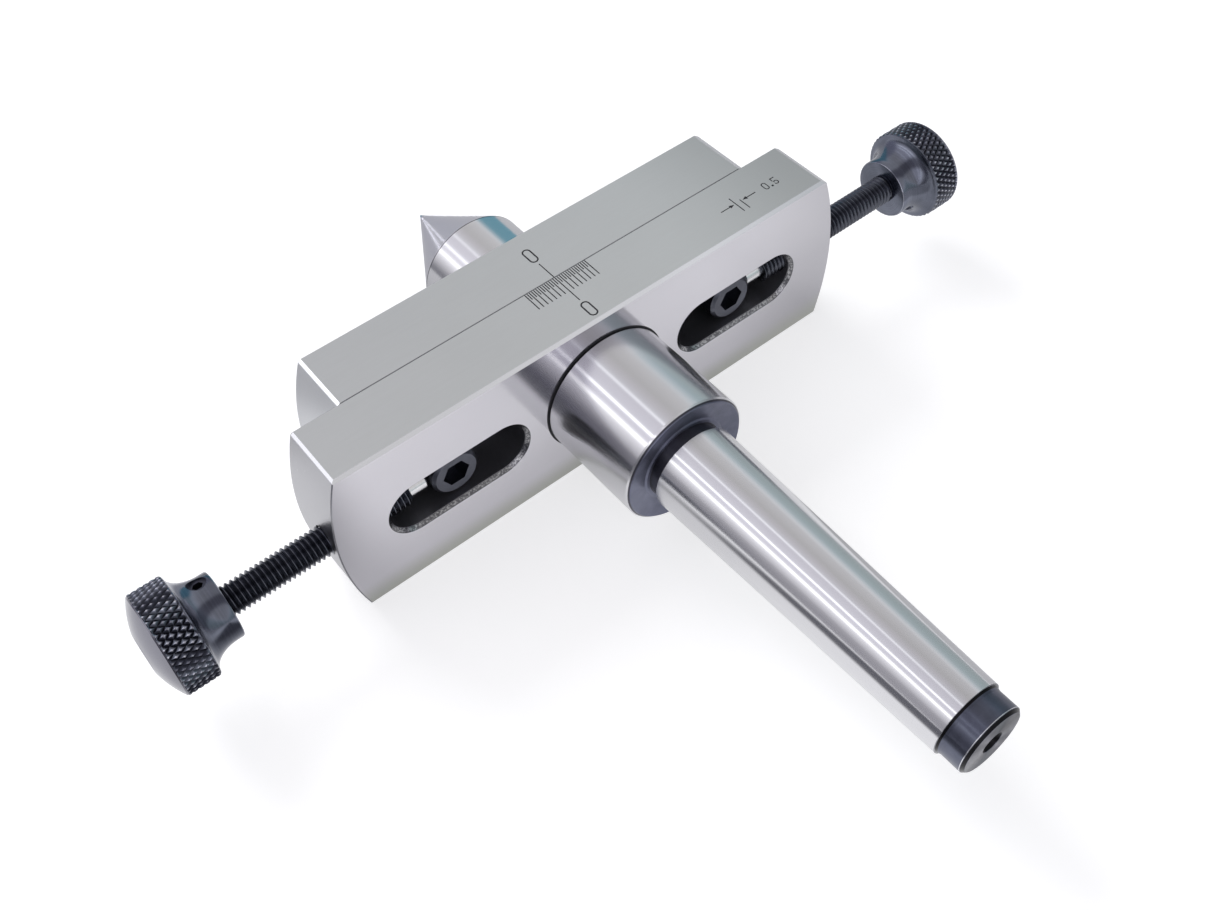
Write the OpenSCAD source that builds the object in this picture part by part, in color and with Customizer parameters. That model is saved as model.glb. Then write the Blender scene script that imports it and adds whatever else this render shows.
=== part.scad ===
// Offset centre head for a lathe tailstock, for turning tapers between centres.
// A fixed bar on a tapered shank carries a slide bar with a hardened centre.
// Two knurled screws push the slide bar sideways, and two cap screws clamp it.
// X runs along the bars, Y is the spindle axis with the shank towards -Y, and Z is up.
// The origin is on the spindle axis, in the gauge plane of the taper.

/* [Bars] */
// Length of the fixed bar, the diameter of the disc that it is cut from
fixed_bar_length = 120; // [117:1:140]
// Length of the slide bar, the diameter of the disc that it is cut from
slide_bar_length = 102; // [96:1:112]
// Height of both bars across their flats
bar_height = 38; // [34:1:46]
// Thickness of the fixed bar along the spindle axis
fixed_bar_thickness = 14; // [13:0.5:20]
// Thickness of the slide bar along the spindle axis
slide_bar_thickness = 14; // [14:0.5:20]
// Chamfer where the flats run into the left curved ends
left_corner_break = 0.5; // [0.3:0.1:1.5]
// Chamfer where the flats run into the right curved ends
right_corner_break = 1; // [0.3:0.1:1.5]
// Chamfer along the flats at the front face of the fixed bar
front_edge_break = 0.6; // [0.3:0.1:0.8]
// Chamfer round its curved ends at the front face
front_rim_break = 0.2; // [0.1:0.05:0.3]

/* [Clamping slots] */
// Distance between the two clamp screws
clamp_spacing = 67.5; // [64:0.5:72]
// Travel of the slide bar each way from its middle
offset_travel = 9; // [5:0.5:9.5]
// Room left at the end of each slot at full travel
slot_end_play = 0.35; // [0.3:0.05:1]
// Room round a clamp screw's head in the wide part of a slot
slot_head_room = 0.6; // [0.5:0.1:1.5]
// Depth of a clamp screw's head below the front face
head_recess = 1.7; // [1:0.1:2.5]
// Chamfer round the mouth of each slot
slot_mouth_chamfer = 0.8; // [0.3:0.1:0.9]

/* [Clamp screws] */
// Head diameter of a clamp screw
clamp_head_diameter = 10; // [9:0.5:11]
// Head height of a clamp screw
clamp_head_height = 6; // [5:0.5:6]
// Hexagon size of a clamp screw's socket, across its flats
clamp_socket_flats = 5; // [4:0.5:5.5]
// Depth of a clamp screw's socket
clamp_socket_depth = 3.2; // [2:0.1:3.6]
// Shank diameter of a clamp screw
clamp_shank_diameter = 6; // [5:0.5:6]
// Length of a clamp screw under its head
clamp_screw_length = 16; // [15:0.5:17]
// Thickness of the washer under a clamp screw's head
washer_thickness = 1; // [0.8:0.1:1.4]
// Outer diameter of that washer
washer_diameter = 11; // [10.5:0.1:11.4]
// Outer diameter of the bush that guides the slide bar in the slot
bush_diameter = 8; // [7.5:0.1:8.5]
// Depth to which a guide bush is pressed into the slide bar
bush_seat_depth = 4; // [3:0.5:5]

/* [Taper shank] */
// Diameter of the taper in the gauge plane
gauge_diameter = 17.78; // [17:0.01:19]
// Narrowing of the taper's diameter for each unit of its length
taper_rate = 0.04995; // [0.045:0.0005:0.055]
// Length of the taper from the gauge plane to its small end
taper_length = 62; // [50:1:70]
// Length of the taper beyond the gauge plane, on the large side
taper_overrun = 3; // [1:0.5:5]
// Diameter of the blackened tail past the small end
tail_diameter = 13.6; // [12:0.1:13.8]
// Length of that tail
tail_length = 5.3; // [4:0.1:8]
// Diameter of the neck between the taper and the boss
neck_diameter = 16.2; // [15:0.1:17]
// Length of that neck
neck_length = 2.2; // [1.8:0.1:4]
// Diameter of the boss
boss_diameter = 27.5; // [27:0.5:32]
// Length of the boss
boss_length = 23.5; // [18:0.5:30]
// Diameter of the spigot that is pressed into the fixed bar
spigot_diameter = 16; // [14:0.5:17]
// Length of that spigot
spigot_length = 8; // [6:0.5:8]

/* [Centre] */
// Diameter of the centre's plain part
centre_diameter = 24; // [20:0.5:28]
// Length of the plain part in front of the slide bar
centre_plain_length = 16; // [10:0.5:25]
// Angle of the centre's point
centre_point_angle = 60; // [60:1:75]
// Diameter of the centre's spigot in the slide bar
centre_spigot_diameter = 14; // [12:0.5:16]
// Length of that spigot
centre_spigot_length = 8; // [6:0.5:8.5]

/* [Adjusting screws and knobs] */
// Thread diameter of the adjusting screws
adjust_diameter = 6; // [5:0.5:6]
// Pitch of their thread
adjust_pitch = 1; // [0.8:0.05:1.25]
// Diameter of the bright pad on a screw's end
pad_diameter = 3.6; // [3.4:0.1:4.8]
// Length of that pad in front of the thread
pad_length = 4; // [3:0.1:5]
// Gap between the end of a knob's hub and the end of the fixed bar
knob_stand_off = 20; // [16:0.5:30]
// Diameter of a knob's knurled head
knob_head_diameter = 20; // [18:0.5:24]
// Length of the knurled head
knob_head_length = 6.4; // [5:0.1:9]
// Height of the domed end that stands out beyond the knurled head
knob_dome_height = 2.5; // [1:0.1:3]
// Diameter of a knob's hub
knob_hub_diameter = 13; // [12.5:0.5:15]
// Length of the hub, with the cove that leads to the head
knob_hub_length = 6.6; // [6:0.1:9]
// Diameter of the set screw that locks a knob to its screw
set_screw_diameter = 3.5; // [3:0.1:4]

/* [Scale] */
// Distance between two lines of the scale
scale_division = 0.5; // [0.5:0.1:1]
// Number of lines on each side of zero
scale_lines = 14; // [8:1:16]
// Length of the long lines
scale_line_length = 4.8; // [3:0.1:6]
// Length of the zero line on the fixed bar
fixed_zero_length = 7.8; // [5:0.1:8.2]
// Length of the zero line on the slide bar
slide_zero_length = 4.8; // [4:0.1:8.2]
// Width of an engraved line
engraving_width = 0.22; // [0.15:0.01:0.3]
// Depth of the engraving
engraving_depth = 0.15; // [0.1:0.01:0.3]

/* [Hidden] */
$fn = 72;

hexagon_sides = 6;

// Signs of X at the left and the right end
sides = [-1, 1];
left = sides[0];
right = sides[1];

// Clearances and small sizes
press_clearance = 0.02;
running_clearance = 0.08;
parting_clearance = 0.02;
cut_overrun = 1;
small_chamfer = 0.3;
parting_edge_break = 0.1;
back_edge_break = 0.3;
end_gap = 0.3;
pad_gap = 0.3;

// Places along the spindle axis
boss_end_y = taper_overrun + neck_length;
front_y = boss_end_y + boss_length;
parting_y = front_y + fixed_bar_thickness;
slide_y = parting_y + parting_clearance;
back_y = slide_y + slide_bar_thickness;
cone_y = back_y + centre_plain_length;
centre_cone_length = centre_diameter / 2 / tan(centre_point_angle / 2);

// Places along the bars
clamp_x = clamp_spacing / 2;
slot_span = 2 * (offset_travel + slot_end_play);
wide_slot_radius = clamp_head_diameter / 2 + slot_head_room;
narrow_slot_radius = bush_diameter / 2 + running_clearance;
bar_end_x = fixed_bar_length / 2;
floor_z = bar_height / 2 - engraving_depth;
hub_x = bar_end_x + knob_stand_off;
head_x = hub_x + knob_hub_length;
knob_end_x = head_x + knob_head_length + knob_dome_height;
pad_x = clamp_x + clamp_head_diameter / 2 + pad_gap;
thread_x = pad_x + pad_length;

// Depths of the clamping parts behind the front face
washer_face_y = front_y + head_recess + clamp_head_height;
slot_seat_y = washer_face_y + washer_thickness + parting_clearance;
adjust_y = front_y + head_recess + clamp_head_height / 2;

// Clamp screw details
clamp_rim_chamfer = 0.6;
clamp_hole_spare = 1;
washer_bore_diameter = 6.4;
bush_bore_diameter = 6.3;

// Countersunk screw details
csk_diameter = 6;
csk_head_diameter = 11;
csk_sink = 0.3;
csk_socket_flats = 4;
csk_socket_depth = 2;
csk_length = 15;
csk_hole_spare = 1.5;

// Dowel details
dowel_diameter = 3;
dowel_length = 9;
dowel_radius = 10.6;

// Shank details
boss_rim_chamfer = 0.7;
boss_root_chamfer = 0.5;
boss_dish_depth = 0.6;
neck_lip_width = 0.8;
neck_lip_height = 0.4;
tail_fillet = 0.9;
tail_rim_chamfer = 0.6;
centre_hole_diameter = 4.4;
centre_hole_bore = 2.2;
centre_hole_depth = 6;
cone_base_break = 0.15;

// Screw and knob details
thread_depth_share = 0.6;
thread_crest_share = 0.25;
screw_end_recess = 3;
screw_end_chamfer = 0.6;
pad_stem_diameter = 2.4;
pad_stem_length = 3;
pad_edge_break = 0.4;
knob_rim_chamfer = 0.4;
knob_hub_straight = 1.6;
knob_hub_chamfer = 0.5;
knob_mouth_chamfer = 0.6;
cove_steps = 8;
set_screw_inset = 2.6;
set_screw_socket_flats = 1.8;
set_screw_socket_depth = 1.4;
set_screw_sink = 0.5;
left_set_screw_angle = -19;
right_set_screw_angle = 126;

// Scale details
short_line_share = 0.4;
numeral_height = 4.2;
numeral_width = 1.9;
numeral_stroke = 0.32;
numeral_gap = 0.7;

// Details of the mark that gives the size of one division
mark_x = 39.6;
mark_setback = 7.3;
mark_line_gap = 1.4;
mark_line_drop = 2.6;
mark_line_length = 4.6;
mark_short_length = 3;
arrow_clearance = 0.4;
arrow_length = 3.4;
arrow_head_length = 1.1;
arrow_head_width = 0.9;
figure_height = 2.1;
figure_width = 1.15;
figure_x = 46.7;
figure_pitch = 1.25;
figure_top_share = 0.55;
figure_mouth_share = 0.35;

// Turns a shape that is built along +Z so that it runs along +Y from y
module along_y(y = 0) {
    translate([0, y, 0]) rotate([-90, 0, 0]) children();
}

// Turns a shape that is built along +Z so that it runs outwards along X from x
module along_x(side, x = 0) {
    translate([side * x, 0, 0]) rotate([0, side * 90, 0]) children();
}

// A plain cylinder with both rims chamfered
module chamfered_rod(radius, length, chamfer) {
    rotate_extrude() polygon([
        [0, 0], [radius - chamfer, 0], [radius, chamfer],
        [radius, length - chamfer], [radius - chamfer, length], [0, length]
    ]);
}

// A slot-shaped solid along Z, with its long way along X
module obround(radius, span, depth) {
    for (side = sides)
        translate([side * span / 2, 0, 0]) cylinder(r = radius, h = depth);
    translate([-span / 2, -radius, 0]) cube([span, 2 * radius, depth]);
}

// The flared mouth of a slot, cut from its face at z = 0
module obround_mouth(radius, span, chamfer) {
    outer = radius + chamfer;
    for (side = sides)
        translate([side * span / 2, 0, 0])
            cylinder(r1 = outer, r2 = radius, h = chamfer);
    translate([-span / 2, 0, 0]) rotate([90, 0, 90]) linear_extrude(span)
        polygon([[-outer, 0], [outer, 0], [radius, chamfer], [-radius, chamfer]]);
}

// A hexagonal prism along Z, given across its flats
module hexagon(flats, depth) {
    cylinder(r = flats / 2 / cos(180 / hexagon_sides), h = depth, $fn = hexagon_sides);
}

// A bar cut from a disc: two flats and two curved ends, all edges chamfered
module disc_bar(length, thickness, rim_break, front_break, back_break) {
    radius = length / 2;
    half_height = bar_height / 2;
    end_y = thickness + cut_overrun;
    front_z = half_height - front_break - cut_overrun;
    back_z = half_height - back_break - cut_overrun;
    corner_x = sqrt(pow(radius, 2) - pow(half_height, 2));
    slope = corner_x / (radius + half_height);
    top_z = half_height + cut_overrun;
    left_x = corner_x - left_corner_break;
    right_x = corner_x - right_corner_break;
    intersection() {
        along_y() rotate_extrude() polygon([
            [0, 0], [radius - rim_break, 0], [radius, rim_break],
            [radius, thickness - back_break], [radius - back_break, thickness], [0, thickness]
        ]);
        translate([-radius, 0, 0]) rotate([90, 0, 90]) linear_extrude(length) polygon([
            [-cut_overrun, -front_z], [front_break, -half_height],
            [thickness - back_break, -half_height], [end_y, -back_z],
            [end_y, back_z], [thickness - back_break, half_height],
            [front_break, half_height], [-cut_overrun, front_z]
        ]);
        along_y(-cut_overrun) linear_extrude(end_y + cut_overrun) polygon([
            [-left_x + cut_overrun / slope, top_z], [right_x - cut_overrun / slope, top_z],
            [radius, half_height - slope * (radius - right_x)],
            [radius, -half_height + slope * (radius - right_x)],
            [right_x - cut_overrun / slope, -top_z], [-left_x + cut_overrun / slope, -top_z],
            [-radius, -half_height + slope * (radius - left_x)],
            [-radius, half_height - slope * (radius - left_x)]
        ]);
    }
}

// One engraved line across the top flat, from low_y to high_y
module scale_line(x, low_y, high_y) {
    translate([x - engraving_width / 2, low_y, floor_z])
        cube([engraving_width, high_y - low_y, cut_overrun]);
}

// A nought cut along Z, centred on the origin
module nought(width, height, stroke) {
    radius = width / 2;
    rotate([0, 0, 90]) difference() {
        obround(radius, height - width, cut_overrun);
        obround(radius - stroke, height - width, cut_overrun);
    }
}

// A plain five cut along Z, centred on the origin
module five(width, height) {
    radius = width / 2;
    bowl_y = radius - height / 2;
    stem = height * (1 - figure_top_share);
    translate([-radius, height / 2 - engraving_width, 0])
        cube([width, engraving_width, cut_overrun]);
    translate([-radius, height / 2 - stem, 0]) cube([engraving_width, stem, cut_overrun]);
    translate([0, bowl_y, 0]) difference() {
        cylinder(r = radius, h = cut_overrun);
        cylinder(r = radius - engraving_width, h = cut_overrun);
        translate([-width, -radius * figure_mouth_share, 0])
            cube([width * (1 - figure_mouth_share), radius, cut_overrun]);
    }
}

// An arrow cut along Z that runs in the direction of the sign, its point at the origin
module arrow(sign) {
    head = arrow_head_length;
    linear_extrude(cut_overrun) polygon([
        [0, 0], [-sign * head, arrow_head_width / 2], [-sign * head, engraving_width / 2],
        [-sign * arrow_length, engraving_width / 2], [-sign * arrow_length, -engraving_width / 2],
        [-sign * head, -engraving_width / 2], [-sign * head, -arrow_head_width / 2]
    ]);
}

// Two lines between two arrows, with the size of one division beside them
module division_mark(y) {
    line_x = mark_line_gap / 2;
    low_y = y - mark_line_drop;
    scale_line(mark_x - line_x, low_y, low_y + mark_line_length);
    scale_line(mark_x + line_x, low_y, low_y + mark_short_length);
    for (side = sides)
        translate([mark_x + side * (line_x + arrow_clearance), y, floor_z]) arrow(-side);
    translate([figure_x, y, floor_z]) {
        nought(figure_width, figure_height, engraving_width);
        translate([figure_pitch - engraving_width, -figure_height / 2, 0])
            cube([2 * engraving_width, 2 * engraving_width, cut_overrun]);
        translate([2 * figure_pitch, 0, 0]) five(figure_width, figure_height);
    }
}

// The long countersunk screw hole that opens at the parting face, cut along +Z
module countersunk_hole() {
    seat_radius = csk_head_diameter / 2 + running_clearance;
    shank_radius = csk_diameter / 2 + running_clearance;
    cylinder(r = seat_radius, h = csk_sink);
    translate([0, 0, csk_sink])
        cylinder(r1 = seat_radius, r2 = shank_radius, h = seat_radius - shank_radius);
    cylinder(r = shank_radius, h = csk_length + csk_sink + csk_hole_spare);
}

// The front bar, with both slots, both threaded ends, the shank's seat and the scale
module fixed_bar() {
    color([0.78, 0.79, 0.81]) difference() {
        translate([0, front_y, 0]) disc_bar(
            fixed_bar_length, fixed_bar_thickness, front_rim_break, front_edge_break, parting_edge_break
        );
        for (side = sides) translate([side * clamp_x, 0, 0]) {
            along_y(front_y) {
                obround_mouth(wide_slot_radius, slot_span, slot_mouth_chamfer);
                obround(wide_slot_radius, slot_span, slot_seat_y - front_y);
                obround(narrow_slot_radius, slot_span, fixed_bar_thickness + cut_overrun);
            }
        }
        for (side = sides) translate([0, adjust_y, 0]) along_x(side, clamp_x)
            cylinder(r = adjust_diameter / 2 + running_clearance, h = bar_end_x);
        along_y(front_y)
            cylinder(r = spigot_diameter / 2 + press_clearance, h = spigot_length + end_gap);
        translate([0, parting_y, 0]) rotate([90, 0, 0]) countersunk_hole();
        translate([0, 0, dowel_radius]) along_y(front_y)
            cylinder(r = dowel_diameter / 2 + press_clearance, h = dowel_length / 2 + end_gap);
        for (line = [-scale_lines:scale_lines]) {
            short = line % 2 != 0;
            length = line == 0 ? fixed_zero_length
                : short ? scale_line_length * short_line_share : scale_line_length;
            scale_line(line * scale_division, parting_y - length, parting_y + cut_overrun);
        }
        translate([0, parting_y - fixed_zero_length - numeral_gap - numeral_height / 2, floor_z])
            nought(numeral_width, numeral_height, numeral_stroke);
        division_mark(parting_y - mark_setback);
    }
}

// Spigot, boss, neck, taper and tail, turned in one piece
module taper_shank() {
    small_radius = (gauge_diameter - taper_rate * taper_length) / 2;
    large_radius = (gauge_diameter + taper_rate * taper_overrun) / 2;
    tail_radius = tail_diameter / 2;
    neck_radius = neck_diameter / 2;
    boss_radius = boss_diameter / 2;
    spigot_radius = spigot_diameter / 2;
    lip_radius = neck_radius + neck_lip_width;
    tail_end_y = -taper_length - tail_length;
    color([0.75, 0.76, 0.79]) difference() {
        along_y() rotate_extrude() polygon([
            [0, tail_end_y],
            [tail_radius - tail_rim_chamfer, tail_end_y],
            [tail_radius, tail_end_y + tail_rim_chamfer],
            [tail_radius, -taper_length - tail_fillet],
            [small_radius - small_chamfer, -taper_length],
            [small_radius, -taper_length],
            [large_radius, taper_overrun],
            [neck_radius, taper_overrun + small_chamfer],
            [neck_radius, boss_end_y + neck_lip_height],
            [lip_radius, boss_end_y + neck_lip_height],
            [lip_radius + neck_lip_height, boss_end_y + boss_dish_depth],
            [boss_radius - boss_rim_chamfer, boss_end_y],
            [boss_radius, boss_end_y + boss_rim_chamfer],
            [boss_radius, front_y - boss_root_chamfer],
            [boss_radius - boss_root_chamfer, front_y],
            [spigot_radius, front_y],
            [spigot_radius, front_y + spigot_length - small_chamfer],
            [spigot_radius - small_chamfer, front_y + spigot_length],
            [0, front_y + spigot_length]
        ]);
        translate([0, parting_y, 0]) rotate([90, 0, 0]) countersunk_hole();
        translate([0, 0, dowel_radius]) along_y(front_y - dowel_length / 2 - end_gap)
            cylinder(r = dowel_diameter / 2 + press_clearance, h = dowel_length);
        along_y(tail_end_y - cut_overrun)
            cylinder(r = centre_hole_bore / 2, h = centre_hole_depth + cut_overrun);
        along_y(tail_end_y) cylinder(
            r1 = centre_hole_diameter / 2,
            r2 = centre_hole_bore / 2,
            h = (centre_hole_diameter - centre_hole_bore) / 2 / tan(centre_point_angle / 2)
        );
    }
}

// A countersunk screw along +Z with its head face at z = 0
module countersunk_screw() {
    head_radius = csk_head_diameter / 2;
    shank_radius = csk_diameter / 2;
    difference() {
        rotate_extrude() polygon([
            [0, 0], [head_radius, 0], [shank_radius, head_radius - shank_radius],
            [shank_radius, csk_length - small_chamfer],
            [shank_radius - small_chamfer, csk_length], [0, csk_length]
        ]);
        translate([0, 0, -cut_overrun]) hexagon(csk_socket_flats, csk_socket_depth + cut_overrun);
    }
}

module shank_screw() {
    color([0.2, 0.2, 0.22]) translate([0, parting_y - csk_sink, 0]) rotate([90, 0, 0])
        countersunk_screw();
}

module shank_dowel() {
    color([0.7, 0.7, 0.72]) translate([0, 0, dowel_radius])
        along_y(front_y - dowel_length / 2)
            chamfered_rod(dowel_diameter / 2, dowel_length, small_chamfer);
}

module slide_bar() {
    color([0.76, 0.77, 0.79]) difference() {
        translate([0, slide_y, 0]) disc_bar(
            slide_bar_length, slide_bar_thickness, parting_edge_break, parting_edge_break, back_edge_break
        );
        for (side = sides) translate([side * clamp_x, 0, 0]) along_y(slide_y) {
            cylinder(r = bush_diameter / 2 + press_clearance, h = bush_seat_depth);
            cylinder(
                r = clamp_shank_diameter / 2 + running_clearance,
                h = washer_face_y + clamp_screw_length + clamp_hole_spare - slide_y
            );
        }
        translate([0, back_y, 0]) rotate([90, 0, 0])
            cylinder(r = centre_spigot_diameter / 2 + press_clearance, h = centre_spigot_length + end_gap);
        along_y(slide_y) countersunk_hole();
        scale_line(0, slide_y - cut_overrun, slide_y + slide_zero_length);
        translate([0, slide_y + slide_zero_length + numeral_gap + numeral_height / 2, floor_z])
            nought(numeral_width, numeral_height, numeral_stroke);
    }
}

// The plain part, the point and the spigot, turned and ground in one piece
module centre_point() {
    radius = centre_diameter / 2;
    spigot_radius = centre_spigot_diameter / 2;
    break_length = cone_base_break / tan(centre_point_angle / 2);
    color([0.7, 0.71, 0.74]) difference() {
        along_y() rotate_extrude() polygon([
            [0, back_y - centre_spigot_length],
            [spigot_radius - small_chamfer, back_y - centre_spigot_length],
            [spigot_radius, back_y - centre_spigot_length + small_chamfer],
            [spigot_radius, back_y],
            [radius - small_chamfer, back_y],
            [radius, back_y + small_chamfer],
            [radius, cone_y],
            [radius - cone_base_break, cone_y + break_length],
            [0, cone_y + centre_cone_length]
        ]);
        along_y(slide_y) countersunk_hole();
    }
}

module centre_screw() {
    color([0.2, 0.2, 0.22]) along_y(slide_y + csk_sink) countersunk_screw();
}

// A bush pressed into the slide bar, which runs in the narrow part of the slot
module guide_bush(side) {
    bush_length = parting_y - slot_seat_y - end_gap + bush_seat_depth;
    color([0.66, 0.67, 0.7]) translate([side * clamp_x, 0, 0])
        along_y(slide_y + bush_seat_depth - bush_length) difference() {
            chamfered_rod(bush_diameter / 2, bush_length, small_chamfer);
            translate([0, 0, -cut_overrun])
                cylinder(d = bush_bore_diameter, h = bush_length + 2 * cut_overrun);
        }
}

// A socket cap screw along +Z with the top of its head at z = 0
module clamp_screw(side) {
    head_radius = clamp_head_diameter / 2;
    shank_radius = clamp_shank_diameter / 2;
    end = clamp_head_height + clamp_screw_length;
    color([0.17, 0.17, 0.19]) translate([side * clamp_x, 0, 0])
        along_y(front_y + head_recess) difference() {
            rotate_extrude() polygon([
                [0, 0], [head_radius - clamp_rim_chamfer, 0], [head_radius, clamp_rim_chamfer],
                [head_radius, clamp_head_height], [shank_radius, clamp_head_height],
                [shank_radius, end - clamp_rim_chamfer],
                [shank_radius - clamp_rim_chamfer, end], [0, end]
            ]);
            translate([0, 0, -cut_overrun])
                hexagon(clamp_socket_flats, clamp_socket_depth + cut_overrun);
        }
}

module clamp_washer(side) {
    color([0.25, 0.25, 0.27]) translate([side * clamp_x, 0, 0]) along_y(washer_face_y)
        difference() {
            cylinder(d = washer_diameter, h = washer_thickness);
            translate([0, 0, -cut_overrun])
                cylinder(d = washer_bore_diameter, h = washer_thickness + 2 * cut_overrun);
        }
}

// An outside thread drawn as rings, from z = 0 to the given length
module threaded_rod(radius, pitch, length) {
    root = radius - thread_depth_share * pitch;
    crest = thread_crest_share * pitch;
    flank = (pitch - crest) / 2;
    turns = floor((length - 2 * screw_end_chamfer) / pitch);
    start = (length - turns * pitch) / 2;
    rings = [
        for (turn = [0:turns - 1]) let (z = start + turn * pitch)
            each [[root, z], [radius, z + flank], [radius, z + flank + crest]]
    ];
    rotate_extrude() polygon(concat(
        [[0, 0], [root, 0]], rings, [[root, start + turns * pitch], [root, length], [0, length]]
    ));
}

module adjusting_screw(side) {
    length = knob_end_x - screw_end_recess - thread_x;
    color([0.15, 0.15, 0.17]) translate([0, adjust_y, 0]) along_x(side, thread_x)
        difference() {
            threaded_rod(adjust_diameter / 2, adjust_pitch, length);
            translate([0, 0, -cut_overrun]) cylinder(
                r = pad_stem_diameter / 2 + running_clearance,
                h = pad_stem_length + end_gap + cut_overrun
            );
        }
}

// The bright pad that bears on a clamp screw's head while the screw turns behind it
module thrust_pad(side) {
    radius = pad_diameter / 2;
    stem_radius = pad_stem_diameter / 2;
    shoulder = pad_length - parting_clearance;
    color([0.85, 0.85, 0.84]) translate([0, adjust_y, 0]) along_x(side, pad_x)
        rotate_extrude() polygon([
            [0, 0], [radius - pad_edge_break, 0], [radius, pad_edge_break],
            [radius, shoulder], [stem_radius, shoulder],
            [stem_radius, pad_length + pad_stem_length], [0, pad_length + pad_stem_length]
        ]);
}

// A knob: hub, cove and a head that is knurled round its rim
module knob(side, set_screw_angle) {
    hub_radius = knob_hub_diameter / 2;
    head_radius = knob_head_diameter / 2;
    cove_radius = knob_hub_length - knob_hub_straight;
    cove_rise = head_radius - knob_rim_chamfer - hub_radius;
    rim_end = knob_hub_length + knob_head_length;
    full_length = rim_end + knob_dome_height;
    bore_radius = adjust_diameter / 2 + press_clearance;
    mouth_radius = bore_radius + knob_mouth_chamfer;
    dome_fall = pow(head_radius, 2) - pow(mouth_radius, 2) - pow(knob_dome_height, 2);
    dome_depth = dome_fall / knob_dome_height / 2;
    dome_radius = sqrt(pow(head_radius, 2) + pow(dome_depth, 2));
    cove = [
        for (step = [0:cove_steps]) let (angle = 90 * step / cove_steps)
            [
                hub_radius + cove_rise * (1 - cos(angle)),
                knob_hub_straight + cove_radius * sin(angle)
            ]
    ];
    color([0.16, 0.16, 0.19]) translate([0, adjust_y, 0]) along_x(side, hub_x)
        difference() {
            intersection() {
                rotate_extrude() polygon(concat(
                    [[0, 0], [hub_radius - knob_hub_chamfer, 0], [hub_radius, knob_hub_chamfer]],
                    cove,
                    [
                        [head_radius, knob_hub_length + knob_rim_chamfer],
                        [head_radius, full_length], [0, full_length]
                    ]
                ));
                translate([0, 0, rim_end - dome_depth]) sphere(r = dome_radius);
            }
            translate([0, 0, -cut_overrun])
                cylinder(r = bore_radius, h = full_length + 2 * cut_overrun);
            translate([0, 0, full_length - knob_mouth_chamfer])
                cylinder(r1 = bore_radius, r2 = mouth_radius, h = knob_mouth_chamfer);
            translate([0, 0, set_screw_inset]) rotate([0, 0, side * set_screw_angle])
                rotate([0, -90 * side, 0])
                cylinder(r = set_screw_diameter / 2 + press_clearance, h = hub_radius + cut_overrun);
        }
}

module knob_set_screw(side, set_screw_angle) {
    inner = adjust_diameter / 2 + running_clearance;
    length = knob_hub_diameter / 2 - set_screw_sink - inner;
    color([0.13, 0.13, 0.15]) translate([0, adjust_y, 0]) along_x(side, hub_x)
        translate([0, 0, set_screw_inset]) rotate([0, 0, side * set_screw_angle])
        rotate([0, -90 * side, 0]) translate([0, 0, inner]) difference() {
            cylinder(d = set_screw_diameter, h = length);
            translate([0, 0, length - set_screw_socket_depth])
                hexagon(set_screw_socket_flats, set_screw_socket_depth + cut_overrun);
        }
}

fixed_bar();
taper_shank();
shank_screw();
shank_dowel();
slide_bar();
centre_point();
centre_screw();
guide_bush(left);  // left_guide_bush
guide_bush(right);  // right_guide_bush
clamp_screw(left);  // left_clamp_screw
clamp_screw(right);  // right_clamp_screw
clamp_washer(left);  // left_clamp_washer
clamp_washer(right);  // right_clamp_washer
adjusting_screw(left);  // left_adjusting_screw
adjusting_screw(right);  // right_adjusting_screw
thrust_pad(left);  // left_thrust_pad
thrust_pad(right);  // right_thrust_pad
knob(left, left_set_screw_angle);  // left_knob
knob(right, right_set_screw_angle);  // right_knob
knob_set_screw(left, left_set_screw_angle);  // left_knob_set_screw
knob_set_screw(right, right_set_screw_angle);  // right_knob_set_screw
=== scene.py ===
# Offset centre head for a lathe tailstock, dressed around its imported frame.
# Lengths are written in millimetres and turned into metres by MM.
import math

import bpy
from mathutils import Matrix, Vector


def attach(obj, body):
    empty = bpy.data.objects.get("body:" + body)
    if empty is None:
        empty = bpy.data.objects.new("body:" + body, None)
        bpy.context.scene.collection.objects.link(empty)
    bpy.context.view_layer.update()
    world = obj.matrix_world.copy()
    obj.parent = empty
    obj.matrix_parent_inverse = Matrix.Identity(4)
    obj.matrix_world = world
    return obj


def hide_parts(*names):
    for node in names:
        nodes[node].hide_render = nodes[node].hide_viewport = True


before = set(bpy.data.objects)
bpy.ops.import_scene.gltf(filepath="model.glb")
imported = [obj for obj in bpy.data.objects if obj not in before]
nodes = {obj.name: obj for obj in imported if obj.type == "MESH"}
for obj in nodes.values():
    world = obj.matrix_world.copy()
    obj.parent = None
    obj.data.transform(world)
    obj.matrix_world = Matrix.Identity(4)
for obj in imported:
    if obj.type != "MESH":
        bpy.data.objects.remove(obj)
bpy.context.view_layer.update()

MM = 0.001
LEFT, RIGHT = -1, 1

# Places along the spindle axis and along the bars
TAIL_END_Y = -67.3
TAIL_SHOULDER_Y = -62.0
TAPER_LARGE_Y = 3.0
BOSS_END_Y = 5.2
FRONT_Y = 28.7
PARTING_Y = 42.7
BACK_Y = 56.72
FLAT_Z = 19.0
SCREW_Y = 33.4
CLAMP_X = 33.75

# Adjusting screws
THREAD_START = 43.05
THREAD_END = 92.5
THREAD_PITCH = 1.0
CREST_RADIUS = 3.0
ROOT_RADIUS = 2.42
CREST_WIDTH = 0.16
THREAD_STEPS = 32
SPARE_TURNS = 3
FACED_END_SIZE = 0.82
SCREW_SMOOTH_ANGLE = 25

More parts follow.
